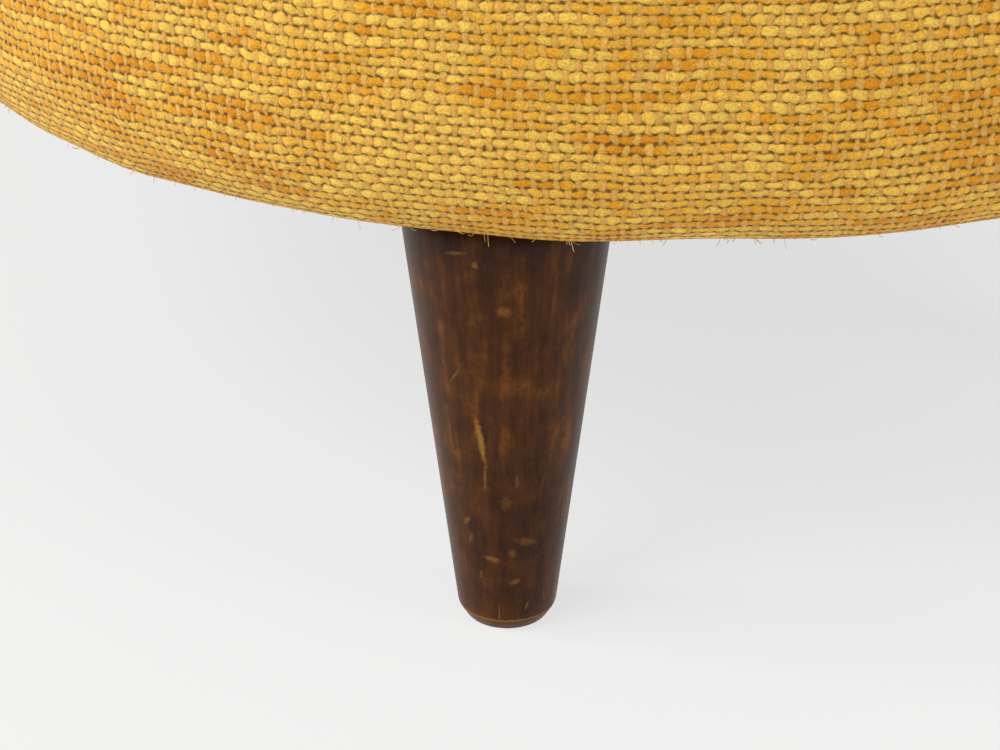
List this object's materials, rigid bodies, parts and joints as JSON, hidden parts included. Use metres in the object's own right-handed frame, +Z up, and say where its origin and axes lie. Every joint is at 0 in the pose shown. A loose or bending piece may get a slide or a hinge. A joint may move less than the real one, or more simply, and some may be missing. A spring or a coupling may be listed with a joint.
{
  "type": "sofa with wooden legs",
  "caption": "Crescent sofa with round ends: upholstered base on round tapered wooden legs, loose curved seat cushions and a curved, raked, padded back.",
  "frame": {"origin": "on the floor, at the centre of the sofa's overall width and depth", "axes": "+Z up; -Y is the front, the side people sit on; +X along the sofa, to the right seen from the front"},
  "size_m": [2.1, 0.9077, 0.7454],
  "materials": {
    "tweed": "chunky plain-weave tweed, matt beige warp and slubby yellow to orange weft",
    "stained_wood": "dark walnut stain, satin, worn",
    "plywood": "raw",
    "frame_wood": "sawn, raw",
    "zinc_steel": "zinc plated",
    "strap_rubber": "woven elastic webbing",
    "hessian": "open jute weave",
    "cotton_felt": "felted cotton",
    "foam": "open-cell polyurethane foam",
    "cambric": "black non-woven"
  },
  "bodies": {
    "frame": {"leg_front_left": "stained_wood", "hanger_bolt_front_left": "zinc_steel", "tee_nut_front_left": "zinc_steel", "leg_front_centre": "stained_wood", "hanger_bolt_front_centre": "zinc_steel", "tee_nut_front_centre": "zinc_steel", "leg_front_right": "stained_wood", "hanger_bolt_front_right": "zinc_steel", "tee_nut_front_right": "zinc_steel", "leg_rear_left": "stained_wood", "hanger_bolt_rear_left": "zinc_steel", "tee_nut_rear_left": "zinc_steel", "leg_rear_centre": "stained_wood", "hanger_bolt_rear_centre": "zinc_steel", "tee_nut_rear_centre": "zinc_steel", "leg_rear_right": "stained_wood", "hanger_bolt_rear_right": "zinc_steel", "tee_nut_rear_right": "zinc_steel", "base_plate_front": "plywood", "rail_front": "frame_wood", "base_plate_rear": "plywood", "rail_rear": "frame_wood", "base_plate_left_end": "plywood", "rail_left_end": "frame_wood", "base_plate_right_end": "plywood", "rail_right_end": "frame_wood", "cross_rail_left": "frame_wood", "cross_rail_right": "frame_wood", "back_post_1": "frame_wood", "back_post_2": "frame_wood", "back_post_3": "frame_wood", "back_post_4": "frame_wood", "back_bottom_rail": "frame_wood", "back_top_rail": "frame_wood", "back_hessian": "hessian", "back_foam": "foam", "back_cover": "tweed", "seat_strap_1": "strap_rubber", "seat_strap_2": "strap_rubber", "seat_strap_3": "strap_rubber", "seat_strap_4": "strap_rubber", "seat_strap_5": "strap_rubber", "seat_strap_6": "strap_rubber", "seat_strap_7": "strap_rubber", "seat_strap_8": "strap_rubber", "seat_strap_9": "strap_rubber", "seat_strap_10": "strap_rubber", "deck_hessian": "hessian", "deck_pad": "cotton_felt", "side_padding": "foam", "base_cover": "tweed", "dust_cover": "cambric"},
    "left_cushion": {"cushion_cover_left": "tweed", "cushion_foam_left": "foam"},
    "centre_cushion": {"cushion_cover_centre": "tweed", "cushion_foam_centre": "foam"},
    "right_cushion": {"cushion_cover_right": "tweed", "cushion_foam_right": "foam"}
  },
  "joints": [
    {"name": "left_cushion_lift", "type": "slide", "parent": "frame", "child": "left_cushion", "axis": [0, 0, 1], "range_m": [0, 0.3]},
    {"name": "centre_cushion_lift", "type": "slide", "parent": "frame", "child": "centre_cushion", "axis": [0, 0, 1], "range_m": [0, 0.3]},
    {"name": "right_cushion_lift", "type": "slide", "parent": "frame", "child": "right_cushion", "axis": [0, 0, 1], "range_m": [0, 0.3]}
  ]
}
